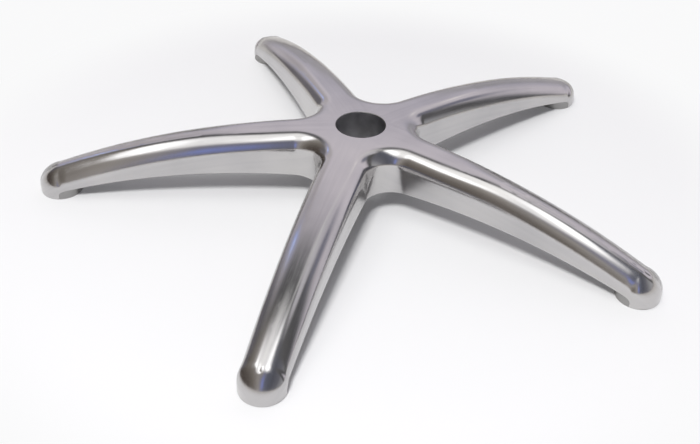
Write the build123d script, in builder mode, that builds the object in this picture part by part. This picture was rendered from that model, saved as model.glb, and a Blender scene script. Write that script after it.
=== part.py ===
from build123d import *
import math
import os

# Overall size of the casting, in millimetres; angles are in degrees
leg_count = 5
base_radius = 325.0
hub_height = 75.0
front_leg_angle = -90.0

# Plan shape of the star, seen from above
leg_root_width = 50.8
leg_neck_width = 40.0
tip_radius = 21.0
hub_corner_radius = 25.0
neck_blend_radius = 30.0

# Arched back of the legs: flat over the hub, then an arc down to the break, then a tighter
# arc that runs on down to the tips
flat_radius = 30.0
crown_break_radius = 160.0
crown_break_drop = 9.66
crown_tip_height = 20.15
top_roll_radius = 17.0

# Lower edge of the side walls: one long arc that ends at the caster bosses
arch_peak_radius = 120.0
arch_peak_height = 32.3
arch_end_height = 7.3
arch_end_radius = 5.0
skirt_edge_radius = 1.2

# Hollow underside
wall_thickness = 4.5
roof_thickness = 5.0
centre_rib_thickness = 4.0
cross_rib_thickness = 3.5
cross_rib_count = 3
rib_recess = 8.0

# Socket for the gas lift, with its supporting sleeve
lift_bore_diameter = 50.0
lift_land_depth = 12.0
lift_taper_angle = 1.4378
lift_rim_chamfer = 0.6
sleeve_diameter = 67.0
sleeve_foot_height = 20.0

# Sockets for the caster stems
boss_diameter = 40.8
stem_bore_diameter = 11.0
stem_bore_depth = 22.0

# Places worked out from the sizes above; z = 0 is the top face of the hub, and each leg
# is modelled along +X before it takes its place round the axis
floor_z = -hub_height
boss_circle_radius = base_radius - tip_radius
sleeve_foot_z = floor_z + sleeve_foot_height
core_roll_radius = top_roll_radius - wall_thickness
half_pitch = 180 / leg_count
hub_web_reach = (leg_root_width / 2 + hub_corner_radius) / math.sin(math.radians(half_pitch)) - hub_corner_radius
cross_rib_pitch = (boss_circle_radius - boss_diameter / 2 - hub_web_reach) / (cross_rib_count + 1)
cross_rib_radii = [hub_web_reach + cross_rib_pitch * (rib + 1) for rib in range(cross_rib_count)]
lift_taper_drop = (-sleeve_foot_z - lift_land_depth) * math.tan(math.radians(lift_taper_angle))
overrun = 10.0
tolerance = 0.05

# Upright section through the axis, opposite the leg, so that no turned face starts on the leg
section_plane = Plane((0, 0, 0), x_dir=(-1, 0, 0), z_dir=(0, 1, 0))

# Inner crown arc, level at the edge of the flat; arc centres are given as (radius, height)
inner_run = crown_break_radius - flat_radius
inner_crown_radius = (inner_run**2 + crown_break_drop**2) / (2 * crown_break_drop)
inner_centre = (flat_radius, -inner_crown_radius)
crown_break_angle = math.asin(inner_run / inner_crown_radius)

# Outer crown arc, tangent to the inner one at the break and down to its height at the tips
outer_run = base_radius - crown_break_radius
outer_drop = hub_height - crown_break_drop - crown_tip_height
outer_sag = outer_drop * math.cos(crown_break_angle) - outer_run * math.sin(crown_break_angle)
outer_crown_radius = (outer_run**2 + outer_drop**2) / (2 * outer_sag)
outer_centre = (
    crown_break_radius - outer_crown_radius * math.sin(crown_break_angle),
    -crown_break_drop - outer_crown_radius * math.cos(crown_break_angle),
)

# Arch of the side walls, level at its peak and down to its end at the bosses
arch_run = boss_circle_radius - arch_peak_radius
arch_drop = arch_peak_height - arch_end_height
arch_radius = (arch_run**2 + arch_drop**2) / (2 * arch_drop)
arch_centre = (arch_peak_radius, floor_z + arch_peak_height - arch_radius)


def arc_z(centre, arc_radius, radius):
    """Height of an arc at a distance from the axis."""
    return centre[1] + math.sqrt(arc_radius**2 - (radius - centre[0]) ** 2)


def crown_z(radius):
    """Height of the leg's back at a distance from the axis."""
    if radius <= flat_radius:
        return 0.0
    if radius <= crown_break_radius:
        return arc_z(inner_centre, inner_crown_radius, radius)
    return arc_z(outer_centre, outer_crown_radius, radius)


def arch_z(radius):
    """Height of the side walls' lower edge at a distance from the axis."""
    return arc_z(arch_centre, arch_radius, radius)


def crown_profile(drop, foot_z):
    """Closed section below the crown, lowered by drop, from the axis down to foot_z."""
    outer = base_radius + overrun
    first_mid = (flat_radius + crown_break_radius) / 2
    second_mid = (crown_break_radius + outer) / 2
    flat_end = (flat_radius, -drop)
    break_point = (crown_break_radius, -crown_break_drop - drop)
    outer_end = (outer, crown_z(outer) - drop)
    Line((0, -drop), flat_end)
    ThreePointArc(flat_end, (first_mid, crown_z(first_mid) - drop), break_point)
    ThreePointArc(break_point, (second_mid, crown_z(second_mid) - drop), outer_end)
    Polyline(outer_end, (outer, foot_z), (0, foot_z), (0, -drop))


def arch_profile(rise, end_radius):
    """Closed section below the arch, raised by rise, from the axis out to end_radius."""
    middle = end_radius / 2
    inner_end = (0, arch_z(0) + rise)
    outer_end = (end_radius, arch_z(end_radius) + rise)
    foot_z = floor_z - overrun
    Polyline(inner_end, (0, foot_z), (end_radius, foot_z), outer_end)
    ThreePointArc(outer_end, (middle, arch_z(middle) + rise), inner_end)


def plan_radius(point):
    """Distance of a point from the axis."""
    return math.hypot(point.X, point.Y)


def side_walls(body):
    """Upright outer walls, without the cuts through the axis that part a leg from the next."""
    upright = body.faces().filter_by(lambda face: abs(face.normal_at().Z) < tolerance)
    return upright.filter_by(lambda face: abs(face.normal_at().dot(face.center())) > tolerance)


def on_crown(edge, drop):
    """True for an edge that lies on the crown lowered by drop."""
    middle = edge.position_at(0.5)
    return abs(middle.Z - crown_z(plan_radius(middle)) + drop) < tolerance


def on_skirt(edge):
    """True for an edge that runs along the bottom of a side wall, or down the end of its arch."""
    middle = edge.position_at(0.5)
    radius = plan_radius(middle)
    below_arch = middle.Z < arch_z(min(radius, boss_circle_radius)) + tolerance
    at_arch_end = abs(radius - boss_circle_radius) < tolerance
    is_upright_edge = abs(edge.tangent_at(0.5).Z) > 1 - tolerance
    return below_arch and (at_arch_end or not is_upright_edge)


# Height at which the arch meets the inner side of a caster boss
boss_foot_height = arch_z(boss_circle_radius - boss_diameter / 2) - floor_z

# Plan of the whole star: tapered legs, round tips, blended necks, rounded corners at the hub
with BuildSketch() as star_plan:
    with PolarLocations(0, leg_count):
        Polygon(
            (0, -leg_root_width / 2),
            (boss_circle_radius, -leg_neck_width / 2),
            (boss_circle_radius, leg_neck_width / 2),
            (0, leg_root_width / 2),
            align=None,
        )
    with PolarLocations(boss_circle_radius, leg_count):
        Circle(tip_radius)
    fillet(star_plan.vertices().sort_by_distance((0, 0))[leg_count : 3 * leg_count], neck_blend_radius)
    fillet(star_plan.vertices().sort_by_distance((0, 0))[:leg_count], hub_corner_radius)

# Part of the plan that belongs to the leg along +X, out to halfway between it and its neighbours
sector_reach = base_radius + overrun
sector_corner = sector_reach * math.tan(math.radians(half_pitch))
with BuildSketch() as leg_plan:
    add(star_plan.sketch)
    Polygon(
        (0, 0),
        (sector_reach, -sector_corner),
        (sector_reach, sector_corner),
        align=None,
        mode=Mode.INTERSECT,
    )

# Plan of the hollow, a wall's thickness inside the plan of the star
with BuildSketch() as hollow_plan:
    add(star_plan.sketch)
    offset(amount=-wall_thickness)

# Ribs left in the hollow: one down the middle of each leg, webs to the hub's corners, and
# cross ribs between the hub and the bosses
with BuildPart() as ribs:
    with BuildSketch(Plane.XY.offset(floor_z)):
        with PolarLocations(0, leg_count):
            Rectangle(boss_circle_radius, centre_rib_thickness, align=(Align.MIN, Align.CENTER))
        with PolarLocations(0, leg_count, start_angle=half_pitch):
            Rectangle(hub_web_reach, centre_rib_thickness, align=(Align.MIN, Align.CENTER))
        for cross_radius in cross_rib_radii:
            with PolarLocations(cross_radius, leg_count):
                Rectangle(cross_rib_thickness, leg_root_width)
    extrude(amount=hub_height)
    with BuildSketch(section_plane):
        with BuildLine():
            arch_profile(rib_recess, sector_reach)
        make_face()
    revolve(axis=Axis.Z, mode=Mode.SUBTRACT)

# Hollow: the space under the roof and between the walls, less the sleeve, the caster
# bosses and the ribs
with BuildPart() as hollow:
    with BuildSketch(Plane.XY.offset(floor_z - overrun)):
        add(hollow_plan.sketch)
    extrude(amount=hub_height + overrun)
    with BuildSketch(section_plane):
        with BuildLine():
            crown_profile(roof_thickness, floor_z - overrun)
        make_face()
    revolve(axis=Axis.Z, mode=Mode.INTERSECT)
    inner_rim = [e for wall in side_walls(hollow) for e in wall.edges() if on_crown(e, roof_thickness)]
    fillet(inner_rim, core_roll_radius)
    with BuildSketch(Plane.XY.offset(floor_z - overrun)):
        Circle(sleeve_diameter / 2)
        with PolarLocations(boss_circle_radius, leg_count):
            Circle(boss_diameter / 2)
    extrude(amount=hub_height + overrun, mode=Mode.SUBTRACT)
    add(ribs.part, mode=Mode.SUBTRACT)

# One leg with its share of the hub
with BuildPart() as leg:
    with BuildSketch(Plane.XY.offset(floor_z)):
        add(leg_plan.sketch)
    extrude(amount=hub_height)
    with BuildSketch(section_plane):
        with BuildLine():
            crown_profile(0, floor_z)
        make_face()
    revolve(axis=Axis.Z, mode=Mode.INTERSECT)
    with BuildSketch(section_plane) as arch:
        with BuildLine():
            arch_profile(0, boss_circle_radius)
        make_face()
        fillet(arch.vertices().group_by(Axis.X)[-1].sort_by(Axis.Y)[-1], arch_end_radius)
    revolve(axis=Axis.Z, mode=Mode.SUBTRACT)
    outer_rim = [e for wall in side_walls(leg) for e in wall.edges() if on_crown(e, 0)]
    fillet(outer_rim, top_roll_radius)
    skirt_rim = [e for wall in side_walls(leg) for e in wall.edges() if on_skirt(e)]
    fillet(skirt_rim, skirt_edge_radius)
    with BuildSketch(Plane.XY.offset(floor_z)):
        with Locations((boss_circle_radius, 0)):
            Circle(boss_diameter / 2)
    extrude(amount=boss_foot_height)

# The casting: five legs, hollowed from below, with the sleeve's foot, the gas-lift socket
# through the middle and a caster socket in each boss
with BuildPart() as star_base:
    with PolarLocations(0, leg_count, start_angle=front_leg_angle):
        add(leg.part)
    with BuildSketch(Plane.XY.offset(sleeve_foot_z)):
        Circle(sleeve_diameter / 2)
    extrude(amount=-roof_thickness - sleeve_foot_z)
    add(hollow.part, rotation=(0, 0, front_leg_angle), mode=Mode.SUBTRACT)
    with BuildSketch(Plane.XZ):
        Polygon(
            (0, 0),
            (lift_bore_diameter / 2 + lift_rim_chamfer, 0),
            (lift_bore_diameter / 2, -lift_rim_chamfer),
            (lift_bore_diameter / 2, -lift_land_depth),
            (lift_bore_diameter / 2 - lift_taper_drop, sleeve_foot_z),
            (lift_bore_diameter / 2 - lift_taper_drop, floor_z),
            (0, floor_z),
            align=None,
        )
    revolve(axis=Axis.Z, mode=Mode.SUBTRACT)
    with BuildSketch(Plane.XY.offset(floor_z)):
        with PolarLocations(boss_circle_radius, leg_count, start_angle=front_leg_angle):
            Circle(stem_bore_diameter / 2)
    extrude(amount=stem_bore_depth, mode=Mode.SUBTRACT)

star_base.part.label = "star_base"
os.makedirs("parts", exist_ok=True)
export_step(star_base.part, "parts/star_base.step")
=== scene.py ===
import math

import bmesh
import bpy
import numpy as np
from mathutils import Matrix, Vector
from mathutils.kdtree import KDTree


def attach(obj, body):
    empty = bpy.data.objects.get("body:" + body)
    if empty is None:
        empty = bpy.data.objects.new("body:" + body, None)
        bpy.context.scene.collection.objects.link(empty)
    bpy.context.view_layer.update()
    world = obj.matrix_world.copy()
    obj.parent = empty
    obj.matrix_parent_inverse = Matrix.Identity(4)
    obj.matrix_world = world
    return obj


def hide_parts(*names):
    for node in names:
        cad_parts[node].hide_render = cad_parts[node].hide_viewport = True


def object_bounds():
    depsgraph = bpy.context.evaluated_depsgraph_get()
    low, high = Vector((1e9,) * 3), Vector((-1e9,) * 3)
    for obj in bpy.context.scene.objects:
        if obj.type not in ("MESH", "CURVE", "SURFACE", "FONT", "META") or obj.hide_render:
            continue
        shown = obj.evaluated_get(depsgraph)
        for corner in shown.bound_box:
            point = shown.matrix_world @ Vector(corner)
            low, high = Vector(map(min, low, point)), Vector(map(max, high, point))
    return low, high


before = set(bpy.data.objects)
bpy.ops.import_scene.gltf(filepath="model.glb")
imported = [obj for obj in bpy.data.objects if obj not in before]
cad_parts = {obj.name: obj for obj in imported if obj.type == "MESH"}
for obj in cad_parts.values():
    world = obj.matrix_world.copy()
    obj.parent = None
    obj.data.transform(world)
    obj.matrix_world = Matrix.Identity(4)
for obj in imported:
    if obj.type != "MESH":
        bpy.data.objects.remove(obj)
cad_low, cad_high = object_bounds()
bpy.context.scene.view_settings.view_transform = "Standard"
FLOOR_Z = cad_low.z

# Camera: the photo's angle, from the solved view of the leg tips, the bore and the hub
AZIMUTH = math.radians(13.99)
ELEVATION = math.radians(36.42)
ROLL = math.radians(1.95)
DISTANCE = 1.016
TARGET = Vector((0.00812, -0.06308, -0.075))
FOCAL_PX = 1022.1
IMAGE_WIDTH = 700
SENSOR_WIDTH = 36

# The one lamp, in metres across and away from the hub as the camera sees it
KEY_ACROSS, KEY_AWAY, KEY_HEIGHT = -0.8, -2.92, 4.0
KEY_SIDE = 1.0
KEY_TURN = math.radians(-17)
KEY_RADIANCE = 61.0

# Pale paper under the part: its colour under the lamp, as the camera sees it further out, and as
# the metal mirrors it. It ends a short way out, and the metal mirrors the darker floor round it.
FLOOR_HALF_SIDE = 12
PAPER_LIT = (0.86, 0.86, 0.865)
PAPER_SEEN = (0.95, 0.95, 0.955)
PAPER_MIRRORED = (0.76, 0.735, 0.71)
FAR_FLOOR_MIRRORED = (0.22, 0.20, 0.20)
PAPER_END = (0.7, 1.3)
# Between these distances from the hub the shadow's share gives way to plain paper
SHADOW_END = (0.33, 0.48)
PLAIN_LEAST = 0.08

# What the metal mirrors, on a map of the sky: u runs to the camera's right and v away from it,
# 0 is straight up and 1 is the horizon. Each patch has a centre, half sizes, a turn in degrees, the
# share of them that is fully lit, and a colour.
SKY_PATCHES = [
    # Duller and then dark end of the sweep on the left, a pale wall on the right, the dark beside it
    ((-0.40, 0.62), (0.24, 0.34), 0, 0.3, (0.62, 0.58, 0.60)),
    ((-0.74, 0.62), (0.28, 0.42), 0, 0.3, (0.20, 0.19, 0.21)),
    ((0.27, 0.20), (0.10, 0.17), 0, 0.5, (0.76, 0.74, 0.78)),
    ((0.47, 0.27), (0.13, 0.13), 0, 0.4, (0.26, 0.26, 0.33)),
    # Glow round the lamps overhead, then the blue light below them
    ((-0.12, -0.12), (0.30, 0.40), 0, 0.5, (1.40, 1.39, 1.37)),
    ((-0.11, -0.78), (0.09, 0.30), 0, 0.0, (0.34, 0.42, 0.95)),
    # Two long lamps, and the reflector that carries the second one on
    ((-0.295, -0.06), (0.095, 0.30), 0, 0.6, (2.3, 2.3, 2.3)),
    ((0.03, -0.12), (0.11, 0.29), -21, 0.6, (2.3, 2.3, 2.3)),
    ((0.18, 0.28), (0.05, 0.26), -23, 0.2, (0.95, 0.94, 0.93)),
    # Window far to the left, and a small bright wall to the right
    ((-0.42, 0.56), (0.26, 0.035), -46, 0.0, (0.30, 0.40, 0.90)),
    ((-0.42, 0.54), (0.12, 0.02), -50, 0.0, (1.2, 1.6, 2.8)),
    ((0.28, 0.51), (0.07, 0.04), -30, 0.2, (1.25, 1.2, 1.15)),
]
# The front half of the room, from the camera's left (0) to its right (1)
ROOM_IN_FRONT = [
    (0.0, (0.08, 0.06, 0.05)),
    (0.14, (0.15, 0.13, 0.115)),
    (0.24, (0.25, 0.225, 0.20)),
    (0.35, (0.46, 0.43, 0.40)),
    (0.45, (0.28, 0.28, 0.38)),
    (0.52, (0.18, 0.19, 0.24)),
    (0.65, (0.14, 0.145, 0.175)),
    (0.80, (0.22, 0.22, 0.25)),
    (1.0, (0.55, 0.55, 0.56)),
]
# The back half, from overhead (0) over a dark gap to the pale sweep and down to the horizon
ROOM_BEHIND = [
    (0.0, (0.17, 0.165, 0.16)),
    (0.13, (0.11, 0.11, 0.115)),
    (0.19, (0.17, 0.17, 0.18)),
    (0.245, (0.58, 0.55, 0.59)),
    (0.32, (0.80, 0.755, 0.81)),
    (0.50, (0.84, 0.79, 0.85)),
    (0.65, (0.64, 0.615, 0.70)),
    (0.75, (0.47, 0.455, 0.48)),
    (0.90, (0.55, 0.53, 0.56)),
]
BEHIND_RANGE = (0.11, 1.11)
# The halves meet a little behind straight up, on a line that bows: over = v + u * BOW - u * u * BEND
HALVES_MEET = (0.08, 0.14)
BOW, BEND = 0.35, 0.17
# The room is weaker as light than as what the metal mirrors, so that the floor's shadow stays
ROOM_DIFFUSE = 0.72
# Straight up the level part of a direction is nil, and this stands in for it
LEAST_LEVEL = 0.0001

# The casting's own sizes, in metres: the skin's normals are worked out from them, because a
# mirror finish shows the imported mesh's averaged ones as ripples
LEG_COUNT = 5
PITCH = 2 * math.pi / LEG_COUNT
HALF_PITCH = PITCH / 2
FRONT_LEG = -math.pi / 2
ROOT_HALF, NECK_HALF = 0.0254, 0.020
BOSS_CIRCLE, TIP_RADIUS = 0.304, 0.021
HUB_CORNER, NECK_BLEND = 0.025, 0.030
FLAT, BREAK, BREAK_DROP, TIP_HEIGHT = 0.030, 0.160, 0.00966, 0.02015
ROLL_RADIUS = 0.017
BORE_RADIUS, BORE_LAND, BORE_SLOPE = 0.025, 0.012, math.radians(1.4378)

# Towards the tips the backs' normals are those of nearly an ellipse. It is this high for its half
# width, from the front leg round by the right, fitted to what each leg mirrors in the photo.
# It starts at the first radius and is complete at the second.
SECTION_RATIOS = np.array((0.68, 1.2, 0.7, 0.7, 0.95))
ROUNDING = (0.09, 0.17)
# The photo's front tip has a line across it, and the tips' normals fall off faster from there
TIP_LINE, TIP_RUN, TIP_TILT = 0.302, 0.012, 0.5
# Nearer than this to a leg's middle line a sideways direction fades
MIDDLE = 1e-4
# The marks of polishing lie along the legs, and set in between these distances from the hub
MARKS_START = (0.05, 0.12)

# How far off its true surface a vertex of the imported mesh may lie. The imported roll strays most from
# a true ball's path round the tips, which start at this radius.
STRAY, ROLL_STRAY, BORE_STRAY = 2.5e-4, 4e-4, 1e-4
TIP_ZONE, TIP_STRAY, TIP_ROLL_STRAY = 0.26, 6e-4, 1.2e-3
# The roll's normals point up, or level where it meets the side wall
LEAST_RISE = -0.02
OUTLINE_SPACING = 0.0002
# How well a true normal has to agree with the face that it is given to
LEAST_MATCH = 0.8
SHARP_EDGE = math.radians(30)
# The least length and angle that anything is divided by
TINY, TINY_ANGLE = 1e-9, 1e-6

# The skin's surfaces, in the order in which exact_normals gives them, and its finishes
CROWN, WALL, ROLL_SURFACE, BORE = range(4)
POLISHED, AS_CAST, BORED = range(3)


def add_camera():
    back = Vector((
        math.sin(AZIMUTH) * math.cos(ELEVATION),
        -math.cos(AZIMUTH) * math.cos(ELEVATION),
        math.sin(ELEVATION),
    ))
    right = Vector((math.cos(AZIMUTH), math.sin(AZIMUTH), 0))
    up = back.cross(right)
    right = math.cos(ROLL) * right + math.sin(ROLL) * up
    up = back.cross(right)
    data = bpy.data.cameras.new("camera")
    data.sensor_width = SENSOR_WIDTH
    data.lens = SENSOR_WIDTH * FOCAL_PX / IMAGE_WIDTH
    camera = bpy.data.objects.new("camera", data)
    turn = Matrix((right, up, back)).transposed()
    camera.matrix_world = Matrix.Translation(TARGET + back * DISTANCE) @ turn.to_4x4()
    bpy.context.scene.collection.objects.link(camera)
    bpy.context.scene.camera = camera


def node(tree, kind, **values):
    made = tree.nodes.new(kind)
    for name, value in values.items():
        setattr(made, name, value)
    return made


def ramp(tree, value, stops):
    """The colour at a value, on a ramp through the stops."""
    made = node(tree, "ShaderNodeValToRGB")
    points = made.color_ramp.elements
    while len(points) < len(stops):
        points.new(0.5)
    for point, (place, colour) in zip(points, stops):
        point.position = place
        point.color = (*colour, 1)
    tree.links.new(value, made.inputs["Fac"])
    return made.outputs["Color"]


def mapped(tree, value, low, high, to_low=0.0, to_high=1.0, smooth=True):
    made = node(tree, "ShaderNodeMapRange")
    if smooth:
        made.interpolation_type = "SMOOTHSTEP"
    made.inputs["From Min"].default_value = low
    made.inputs["From Max"].default_value = high
    made.inputs["To Min"].default_value = to_low
    made.inputs["To Max"].default_value = to_high
    tree.links.new(value, made.inputs["Value"])
    return made.outputs["Result"]


def maths(tree, operation, *values):
    made = node(tree, "ShaderNodeMath", operation=operation)
    for socket, value in zip(made.inputs, values):
        if isinstance(value, (int, float)):
            socket.default_value = value
        else:
            tree.links.new(value, socket)
    return made.outputs["Value"]


def blend(tree, factor, first, second):
    """Mix of two colours, each a tuple or a socket."""
    made = node(tree, "ShaderNodeMix", data_type="RGBA")
    factor_socket, first_socket, second_socket = made.inputs[0], made.inputs[6], made.inputs[7]
    tree.links.new(factor, factor_socket)
    for socket, colour in ((first_socket, first), (second_socket, second)):
        if isinstance(colour, tuple):
            socket.default_value = (*colour, 1)
        else:
            tree.links.new(colour, socket)
    return made.outputs[2]


def noise(tree, vector, scale, detail, stretch=None):
    made = node(tree, "ShaderNodeTexNoise")
    made.inputs["Scale"].default_value = scale
    made.inputs["Detail"].default_value = detail
    if stretch:
        squeeze = node(tree, "ShaderNodeMapping")
        squeeze.inputs["Scale"].default_value = stretch
        tree.links.new(vector, squeeze.inputs["Vector"])
        vector = squeeze.outputs["Vector"]
    tree.links.new(vector, made.inputs["Vector"])
    return made.outputs["Fac"]


def length(tree, vector):
    made = node(tree, "ShaderNodeVectorMath", operation="LENGTH")
    tree.links.new(vector, made.inputs[0])
    return made.outputs["Value"]


def new_metal(name):
    """A bare metal: the material, its node tree, its shader and the place on the object."""
    made = bpy.data.materials.new(name)
    made.use_nodes = True
    tree = made.node_tree
    tree.nodes.clear()
    out = node(tree, "ShaderNodeOutputMaterial")
    shader = node(tree, "ShaderNodeBsdfPrincipled")
    tree.links.new(shader.outputs["BSDF"], out.inputs["Surface"])
    shader.inputs["Metallic"].default_value = 1.0
    place = node(tree, "ShaderNodeTexCoord").outputs["Object"]
    return made, tree, shader, place


def add_bump(tree, shader, height, strength, distance):
    bump = node(tree, "ShaderNodeBump")
    bump.inputs["Strength"].default_value = strength
    bump.inputs["Distance"].default_value = distance
    tree.links.new(height, bump.inputs["Height"])
    tree.links.new(bump.outputs["Normal"], shader.inputs["Normal"])


def polished_aluminium():
    """Hand-polished casting: nearly a mirror, with fine marks along the legs, smudges and pits."""
    made, tree, shader, place = new_metal("polished_aluminium")
    grain = node(tree, "ShaderNodeAttribute", attribute_name="grain").outputs["Vector"]
    smudges = noise(tree, place, 26, 5)
    clouds = noise(tree, place, 9, 3)
    brushed = noise(tree, grain, 1, 4, stretch=(14, 1500, 7))
    bands = noise(tree, grain, 1, 3, stretch=(6, 240, 7))
    pits = noise(tree, place, 2600, 2)

    shade = maths(tree, "ADD", maths(tree, "MULTIPLY", bands, 0.2), maths(tree, "MULTIPLY", clouds, 0.8))
    tint = ramp(tree, shade, [
        (0.30, (0.46, 0.455, 0.465)),
        (0.52, (0.565, 0.555, 0.555)),
        (0.72, (0.62, 0.61, 0.60)),
    ])
    tree.links.new(tint, shader.inputs["Base Color"])
    dull = mapped(tree, smudges, 0.35, 0.7, 0.12, 0.20)
    dull = maths(tree, "ADD", dull, mapped(tree, brushed, 0.4, 0.75, 0.0, 0.08))
    tree.links.new(dull, shader.inputs["Roughness"])

    lined = mapped(tree, length(tree, place), *MARKS_START)
    height = maths(tree, "ADD", maths(tree, "MULTIPLY", brushed, 0.6), bands)
    height = maths(tree, "MULTIPLY", height, lined)
    height = maths(tree, "ADD", height, maths(tree, "MULTIPLY", pits, 0.25))
    add_bump(tree, shader, height, 0.22, 0.0001)
    return made


def cast_aluminium():
    """As cast: dull, a little rough, with a faint grain."""
    made, tree, shader, place = new_metal("cast_aluminium")
    broad = noise(tree, place, 35, 5)
    grain = noise(tree, place, 700, 4)
    tint = ramp(tree, broad, [(0.3, (0.34, 0.335, 0.33)), (0.7, (0.44, 0.435, 0.43))])
    tree.links.new(tint, shader.inputs["Base Color"])
    tree.links.new(mapped(tree, broad, 0.3, 0.7, 0.42, 0.58), shader.inputs["Roughness"])
    add_bump(tree, shader, grain, 0.4, 0.0003)
    return made


def bored_aluminium():
    """The gas-lift socket's wall: turned, with rings round it and lighter and darker patches."""
    made, tree, shader, place = new_metal("bored_aluminium")
    patches = noise(tree, place, 60, 5)
    rings = noise(tree, place, 40, 3, stretch=(0.3, 0.3, 60))
    tint = ramp(tree, patches, [
        (0.3, (0.46, 0.46, 0.475)),
        (0.55, (0.62, 0.62, 0.635)),
        (0.75, (0.80, 0.80, 0.80)),
    ])
    tree.links.new(tint, shader.inputs["Base Color"])
    tree.links.new(mapped(tree, patches, 0.3, 0.7, 0.30, 0.50), shader.inputs["Roughness"])
    add_bump(tree, shader, rings, 0.25, 0.0002)
    return made


def paper():
    """Pale paper: lit round the part, so that it keeps the shadow, and plain further out."""
    made = bpy.data.materials.new("floor")
    made.use_nodes = True
    tree = made.node_tree
    tree.nodes.clear()
    link = tree.links.new
    out = node(tree, "ShaderNodeOutputMaterial")
    lit = node(tree, "ShaderNodeBsdfDiffuse")
    lit.inputs["Color"].default_value = (*PAPER_LIT, 1)
    plain = node(tree, "ShaderNodeEmission")
    path = node(tree, "ShaderNodeLightPath")
    reach = length(tree, node(tree, "ShaderNodeTexCoord").outputs["Object"])
    mirrored = blend(tree, mapped(tree, reach, *PAPER_END), PAPER_MIRRORED, FAR_FLOOR_MIRRORED)
    link(blend(tree, path.outputs["Is Camera Ray"], mirrored, PAPER_SEEN), plain.inputs["Color"])
    shown = maths(tree, "MAXIMUM", path.outputs["Is Camera Ray"], path.outputs["Is Glossy Ray"])
    share = maths(tree, "MULTIPLY", shown, mapped(tree, reach, *SHADOW_END, PLAIN_LEAST, 1.0))
    mix = node(tree, "ShaderNodeMixShader")
    link(share, mix.inputs["Fac"])
    link(lit.outputs["BSDF"], mix.inputs[1])
    link(plain.outputs["Emission"], mix.inputs[2])
    link(mix.outputs["Shader"], out.inputs["Surface"])
    return made


def add_floor():
    mesh = bpy.data.meshes.new("floor")
    side = FLOOR_HALF_SIDE
    corners = [(-side, -side, FLOOR_Z), (side, -side, FLOOR_Z), (side, side, FLOOR_Z), (-side, side, FLOOR_Z)]
    mesh.from_pydata(corners, [], [(0, 1, 2, 3)])
    floor = bpy.data.objects.new("floor", mesh)
    floor.data.materials.append(paper())
    bpy.context.scene.collection.objects.link(floor)


def add_key():
    """The lamp lights the paper and casts the shadow. What the metal mirrors is all in the room."""
    data = bpy.data.lights.new("key", "AREA")
    data.shape = "RECTANGLE"
    data.size = data.size_y = KEY_SIDE
    data.energy = KEY_RADIANCE * 4 * KEY_SIDE ** 2
    lamp = bpy.data.objects.new("key", data)
    lamp.location = (
        KEY_ACROSS * math.cos(AZIMUTH) - KEY_AWAY * math.sin(AZIMUTH),
        KEY_ACROSS * math.sin(AZIMUTH) + KEY_AWAY * math.cos(AZIMUTH),
        KEY_HEIGHT,
    )
    lamp.rotation_euler = (0, 0, AZIMUTH + KEY_TURN)
    lamp.visible_camera = False
    lamp.visible_glossy = False
    bpy.context.scene.collection.objects.link(lamp)


def sky_map(tree):
    """The places u and v on the map of the sky."""
    place = node(tree, "ShaderNodeTexCoord")
    turn = node(tree, "ShaderNodeVectorRotate", rotation_type="Z_AXIS")
    turn.inputs["Angle"].default_value = -AZIMUTH
    tree.links.new(place.outputs["Generated"], turn.inputs["Vector"])
    split = node(tree, "ShaderNodeSeparateXYZ")
    tree.links.new(turn.outputs["Vector"], split.inputs["Vector"])
    x, y, z = split.outputs
    squares = maths(tree, "ADD", maths(tree, "MULTIPLY", x, x), maths(tree, "MULTIPLY", y, y))
    level_part = maths(tree, "SQRT", squares)
    from_top = maths(tree, "DIVIDE", maths(tree, "ARCTAN2", level_part, z), math.pi / 2)
    stretch = maths(tree, "DIVIDE", from_top, maths(tree, "MAXIMUM", level_part, LEAST_LEVEL))
    return maths(tree, "MULTIPLY", x, stretch), maths(tree, "MULTIPLY", y, stretch)


def room_colour(tree):
    u, v = sky_map(tree)
    spot = node(tree, "ShaderNodeCombineXYZ")
    tree.links.new(u, spot.inputs["X"])
    tree.links.new(v, spot.inputs["Y"])
    in_front = ramp(tree, mapped(tree, u, -1, 1, smooth=False), ROOM_IN_FRONT)
    bend = maths(tree, "MULTIPLY", maths(tree, "MULTIPLY", u, u), BEND)
    over = maths(tree, "ADD", v, maths(tree, "SUBTRACT", maths(tree, "MULTIPLY", u, BOW), bend))
    behind = ramp(tree, mapped(tree, over, *BEHIND_RANGE, smooth=False), ROOM_BEHIND)
    colour = blend(tree, mapped(tree, over, *HALVES_MEET), in_front, behind)
    for centre, halves, angle, full, tone in SKY_PATCHES:
        patch = node(tree, "ShaderNodeMapping", vector_type="TEXTURE")
        patch.inputs["Location"].default_value = (*centre, 0)
        patch.inputs["Rotation"].default_value = (0, 0, math.radians(angle))
        patch.inputs["Scale"].default_value = (*halves, 1)
        tree.links.new(spot.outputs["Vector"], patch.inputs["Vector"])
        reach = length(tree, patch.outputs["Vector"])
        colour = blend(tree, mapped(tree, reach, 1.0, full), colour, tone)
    return colour


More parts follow.
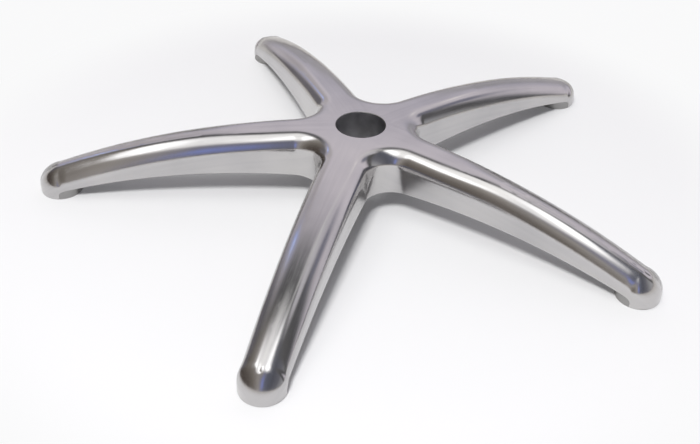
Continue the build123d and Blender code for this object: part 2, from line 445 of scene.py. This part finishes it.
def add_room():
    """World: the room that the metal mirrors, and plain pale paper where the camera looks past the floor."""
    world = bpy.data.worlds.new("room")
    bpy.context.scene.world = world
    world.use_nodes = True
    tree = world.node_tree
    tree.nodes.clear()
    link = tree.links.new
    out = node(tree, "ShaderNodeOutputWorld")
    mix = node(tree, "ShaderNodeMixShader")
    seen = node(tree, "ShaderNodeBackground")
    seen.inputs["Color"].default_value = (*PAPER_SEEN, 1)
    mirrored = node(tree, "ShaderNodeBackground")
    path = node(tree, "ShaderNodeLightPath")
    link(path.outputs["Is Camera Ray"], mix.inputs["Fac"])
    link(mirrored.outputs["Background"], mix.inputs[1])
    link(seen.outputs["Background"], mix.inputs[2])
    link(mix.outputs["Shader"], out.inputs["Surface"])
    link(room_colour(tree), mirrored.inputs["Color"])
    link(mapped(tree, path.outputs["Is Diffuse Ray"], 0, 1, 1.0, ROOM_DIFFUSE), mirrored.inputs["Strength"])


def crown_arcs():
    """The leg's back in its own plane: two arcs, each with its radius and centre, that meet tangent."""
    inner_run = BREAK - FLAT
    inner_arc = (inner_run ** 2 + BREAK_DROP ** 2) / (2 * BREAK_DROP)
    slope = math.asin(inner_run / inner_arc)
    outer_run = BOSS_CIRCLE + TIP_RADIUS - BREAK
    outer_drop = -FLOOR_Z - BREAK_DROP - TIP_HEIGHT
    outer_arc = (outer_run ** 2 + outer_drop ** 2) / (
        2 * (outer_drop * math.cos(slope) - outer_run * math.sin(slope)))
    inner_centre = (FLAT, -inner_arc)
    outer_centre = (BREAK - outer_arc * math.sin(slope), -BREAK_DROP - outer_arc * math.cos(slope))
    return slope, (inner_arc, inner_centre), (outer_arc, outer_centre)


BREAK_SLOPE, (INNER_ARC, INNER_CENTRE), (OUTER_ARC, OUTER_CENTRE) = crown_arcs()


def crown(radius, depth=0.0):
    """Height and outward normal (radial, up) of the leg's back, or of its offset by depth inwards."""
    on_outer = radius > BREAK - depth * math.sin(BREAK_SLOPE)
    centre_r = np.where(on_outer, OUTER_CENTRE[0], np.where(radius <= FLAT, radius, INNER_CENTRE[0]))
    centre_z = np.where(on_outer, OUTER_CENTRE[1], INNER_CENTRE[1])
    arc = np.where(on_outer, OUTER_ARC, INNER_ARC) - depth
    along = radius - centre_r
    rise = np.sqrt(np.maximum(arc ** 2 - along ** 2, 0))
    return centre_z + rise, along / arc, rise / arc


def arc_points(centre, radius, first, last, sign):
    """Points on an arc, and its normals: away from the centre for sign 1, towards it for -1."""
    angles = np.linspace(first, last, int(abs(last - first) * radius / OUTLINE_SPACING) + 2)
    rays = np.stack((np.cos(angles), np.sin(angles)), 1)
    return centre + radius * rays, sign * rays


def plan_half():
    """Half of one leg's outline, from halfway to its neighbour out to the tip, with outward normals.

    The leg lies along +X. Straights come out as points too, so that one table holds the outline."""
    root, neck = np.array((0, ROOT_HALF)), np.array((BOSS_CIRCLE, NECK_HALF))
    along = (neck - root) / np.linalg.norm(neck - root)
    out = np.array((-along[1], along[0]))
    bisector = np.array((math.cos(HALF_PITCH), math.sin(HALF_PITCH)))
    hub = bisector * (HUB_CORNER + root @ out) / (bisector @ out)
    # The neck blend's centre is a blend radius off the side and touches the tip's circle
    tip = np.array((BOSS_CIRCLE, 0.0))
    offset = root + out * NECK_BLEND - tip
    reach = TIP_RADIUS + NECK_BLEND
    step = -(offset @ along) - math.sqrt((offset @ along) ** 2 - offset @ offset + reach ** 2)
    blend_centre = tip + offset + along * step
    to_tip = (tip - blend_centre) / reach

    side_turn = math.atan2(-out[1], -out[0])
    tip_turn = math.atan2(to_tip[1], to_tip[0])
    first, last = hub - out * HUB_CORNER, blend_centre - out * NECK_BLEND
    count = int(np.linalg.norm(last - first) / OUTLINE_SPACING)
    side = first + np.linspace(0, 1, count)[:, None] * (last - first)
    parts = [
        arc_points(hub, HUB_CORNER, HALF_PITCH - math.pi, side_turn, -1),
        (side, np.repeat(out[None], count, 0)),
        arc_points(blend_centre, NECK_BLEND, side_turn, tip_turn, -1),
        arc_points(tip, TIP_RADIUS, tip_turn + math.pi, 0.0, 1),
    ]
    return np.concatenate([points for points, _ in parts]), np.concatenate([normals for _, normals in parts])


def star_outline():
    """The whole star's outline in plan: points and outward normals."""
    points, normals = plan_half()
    flip = np.array((1, -1))
    all_points, all_normals = [], []
    for leg in range(LEG_COUNT):
        turn = FRONT_LEG + PITCH * leg
        spin = np.array(((math.cos(turn), math.sin(turn)), (-math.sin(turn), math.cos(turn))))
        for side in (1, flip):
            all_points.append(points * side @ spin)
            all_normals.append(normals * side @ spin)
    return np.concatenate(all_points), np.concatenate(all_normals)


def level(places):
    """Places or directions in plan, as ones in space with no height."""
    return np.column_stack((places, np.zeros(len(places))))


def unit(vectors):
    return vectors / np.maximum(np.linalg.norm(vectors, axis=1), TINY)[:, None]


def nearest(table, places):
    """For each place the number of the nearest point in the table."""
    tree = KDTree(len(table))
    for number, point in enumerate(table):
        tree.insert(point, number)
    tree.balance()
    return np.array([tree.find(place)[1] for place in places])


def angle_between(first, second):
    return np.arccos(np.clip((first * second).sum(1), -1, 1))


def between(first, second, share):
    """Unit vectors a share of the way round from the first to the second."""
    angle = np.maximum(angle_between(first, second), TINY_ANGLE)
    return (first * np.sin((1 - share) * angle)[:, None]
            + second * np.sin(share * angle)[:, None]) / np.sin(angle)[:, None]


def smooth_step(value, low, high):
    share = np.clip((value - low) / (high - low), 0, 1)
    return share ** 2 * (3 - 2 * share)


def leg_of(places):
    """For each place the number of its leg, from the front one round by the right, and its turn from it."""
    turn = np.arctan2(places[:, 1], places[:, 0]) - FRONT_LEG
    leg = np.round(turn / PITCH)
    return leg.astype(int) % LEG_COUNT, turn - PITCH * leg


def hand_polished(places, normals, outward, depth):
    """True normals bent to how the photo's metal mirrors: rounder backs, and tips that fall off faster.

    Outward is the plan outline's normal next to each place, and depth the distance in from there."""
    radius = np.hypot(places[:, 0], places[:, 1])
    _, along, rise = crown(radius)
    radial = places[:, :2] / np.maximum(radius, TINY)[:, None]
    back = np.column_stack((radial * along[:, None], rise))
    side = level(outward)
    leg, turn = leg_of(places)
    heading = FRONT_LEG + PITCH * leg
    heading = np.column_stack((np.cos(heading), np.sin(heading)))
    reach = radius * np.cos(turn)
    offset = places[:, :2] - heading * np.clip(reach, 0, BOSS_CIRCLE)[:, None]
    off = np.linalg.norm(offset, axis=1)
    across = np.clip(off / np.maximum(off + np.maximum(depth, 0), TINY), 0, 1)

    # Shares of the turn from the back's normal to the side's
    now = angle_between(normals, back) / angle_between(back, side)
    wanted = np.arctan2(SECTION_RATIOS[leg] * across, np.sqrt(1 - across ** 2)) / (math.pi / 2)
    weight = smooth_step(radius, *ROUNDING)
    later = now + weight * (wanted - now)
    # Seen from the leg's middle line, so that the neck behind the tip shows less as a notch
    from_middle = offset / np.maximum(off, MIDDLE)[:, None]
    plain_side = level(unit(outward + weight[:, None] * (from_middle - outward)))
    bent = normals + between(back, plain_side, later) - between(back, side, now)
    tilt = TIP_TILT * smooth_step(reach, TIP_LINE, TIP_LINE + TIP_RUN) * np.clip(1 - later, 0, 1)
    bent[:, :2] += tilt[:, None] * heading
    return unit(bent)


def roll_normals(places, outline, outward):
    """Normals of the roll, which is the path of a ball, and each place's distance from the ball's line."""
    centre_xy = outline - outward * ROLL_RADIUS
    centre_z, _, _ = crown(np.hypot(centre_xy[:, 0], centre_xy[:, 1]), ROLL_RADIUS)
    spine = np.column_stack((centre_xy, centre_z))
    close = nearest(spine, places)
    ray = places - spine[close]
    # Square to the spine's run, which its points only sample
    run = unit(spine[np.minimum(close + 1, len(spine) - 1)] - spine[np.maximum(close - 1, 0)])
    slip = np.clip((ray * run).sum(1), -OUTLINE_SPACING, OUTLINE_SPACING)
    ray -= run * slip[:, None]
    return unit(ray), np.linalg.norm(ray, axis=1)


def exact_normals(places):
    """The skin's surfaces in turn: which places lie on it, and its normal at each place."""
    outline, outward = star_outline()
    radius = np.hypot(places[:, 0], places[:, 1])
    radial = places[:, :2] / np.maximum(radius, TINY)[:, None]
    near_tip = radius > TIP_ZONE

    height, along, rise = crown(radius)
    on_crown = np.abs(places[:, 2] - height) < np.where(near_tip, TIP_STRAY, STRAY)
    crown_normal = np.column_stack((radial * along[:, None], rise))

    close = nearest(level(outline), level(places[:, :2]))
    side = outward[close]
    depth = ((outline[close] - places[:, :2]) * side).sum(1)
    on_wall = np.abs(depth) < STRAY

    roll_normal, from_line = roll_normals(places, outline, outward)
    near_roll = np.abs(from_line - ROLL_RADIUS) < np.where(near_tip, TIP_ROLL_STRAY, ROLL_STRAY)
    on_roll = near_roll & (roll_normal[:, 2] > LEAST_RISE)

    bore_wall = BORE_RADIUS - np.maximum(-places[:, 2] - BORE_LAND, 0) * math.tan(BORE_SLOPE)
    on_bore = np.abs(radius - bore_wall) < BORE_STRAY
    lean = np.where(places[:, 2] < -BORE_LAND, BORE_SLOPE, 0)
    bore_normal = np.column_stack((-radial * np.cos(lean)[:, None], np.sin(lean)))
    return [
        (on_crown, hand_polished(places, crown_normal, side, depth)),
        (on_wall, level(side)),
        (on_roll, hand_polished(places, roll_normal, side, depth)),
        (on_bore, bore_normal),
    ]


def brushed_places(places):
    """Coordinates along and across the nearest leg, for the marks of polishing along it."""
    radius = np.hypot(places[:, 0], places[:, 1])
    leg, turn = leg_of(places)
    height, _, _ = crown(radius)
    across = radius * np.sin(turn)
    across += np.sign(across) * (height - places[:, 2])
    return np.column_stack((radius * np.cos(turn), across, leg))


def read(items, name, width, kind=float):
    values = np.empty(len(items) * width, kind)
    items.foreach_get(name, values)
    return values.reshape(-1, width) if width > 1 else values


def refined(part):
    """A copy of the casting with its backs and rolls cut finer, so that their normals are smooth."""
    mesh = part.data.copy()
    mesh.name = "star_base_skin"
    surfaces = exact_normals(read(mesh.vertices, "co", 3))
    curved = surfaces[CROWN][0] | surfaces[ROLL_SURFACE][0]
    shape = bmesh.new()
    shape.from_mesh(mesh)
    shape.verts.ensure_lookup_table()
    edges = {e for f in shape.faces if all(curved[v.index] for v in f.verts) for e in f.edges}
    edges = sorted(edges, key=lambda e: e.index)
    bmesh.ops.subdivide_edges(shape, edges=edges, cuts=1, use_grid_fill=True)
    bmesh.ops.triangulate(shape, faces=[f for f in shape.faces if len(f.verts) > 3])
    shape.to_mesh(mesh)
    shape.free()
    mesh.set_sharp_from_angle(angle=SHARP_EDGE)
    return mesh


def give_normals(mesh):
    """Sets the true normals, and says for each corner of each face which surface its normal is from."""
    corners = read(mesh.loops, "vertex_index", 1, int)
    normals = read(mesh.corner_normals, "vector", 3)
    faces = np.repeat(read(mesh.polygon_normals, "vector", 3), 3, axis=0)
    best = np.full(len(corners), LEAST_MATCH)
    surface_of = np.full(len(corners), -1)
    for surface, (there, normal) in enumerate(exact_normals(read(mesh.vertices, "co", 3))):
        match = (normal[corners] * faces).sum(1)
        take = there[corners] & (match > best)
        normals[take] = normal[corners][take]
        best[take] = match[take]
        surface_of[take] = surface
    mesh.normals_split_custom_set(normals)
    return surface_of.reshape(-1, 3)


def dress(part):
    """The skin that is seen: true normals on the polished faces, and a finish for each kind of face."""
    mesh = refined(part)
    surface_of = give_normals(mesh)
    grain = mesh.attributes.new("grain", "FLOAT_VECTOR", "POINT")
    grain.data.foreach_set("vector", brushed_places(read(mesh.vertices, "co", 3)).ravel())
    skin = bpy.data.objects.new("star_base_polished", mesh)
    bpy.context.scene.collection.objects.link(skin)

    outside = np.isin(surface_of, (CROWN, WALL, ROLL_SURFACE)).all(1)
    in_bore = (surface_of == BORE).all(1)
    finish = np.where(outside, POLISHED, np.where(in_bore, BORED, AS_CAST))
    mesh.materials.clear()
    for made in (polished_aluminium(), cast_aluminium(), bored_aluminium()):
        mesh.materials.append(made)
    mesh.polygons.foreach_set("material_index", finish.astype(np.int32))
    mesh.polygons.foreach_set("use_smooth", np.ones(len(mesh.polygons), bool))
    return skin


skin = dress(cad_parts["star_base"])
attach(skin, "root")
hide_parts("star_base")

add_camera()
add_floor()
add_key()
add_room()
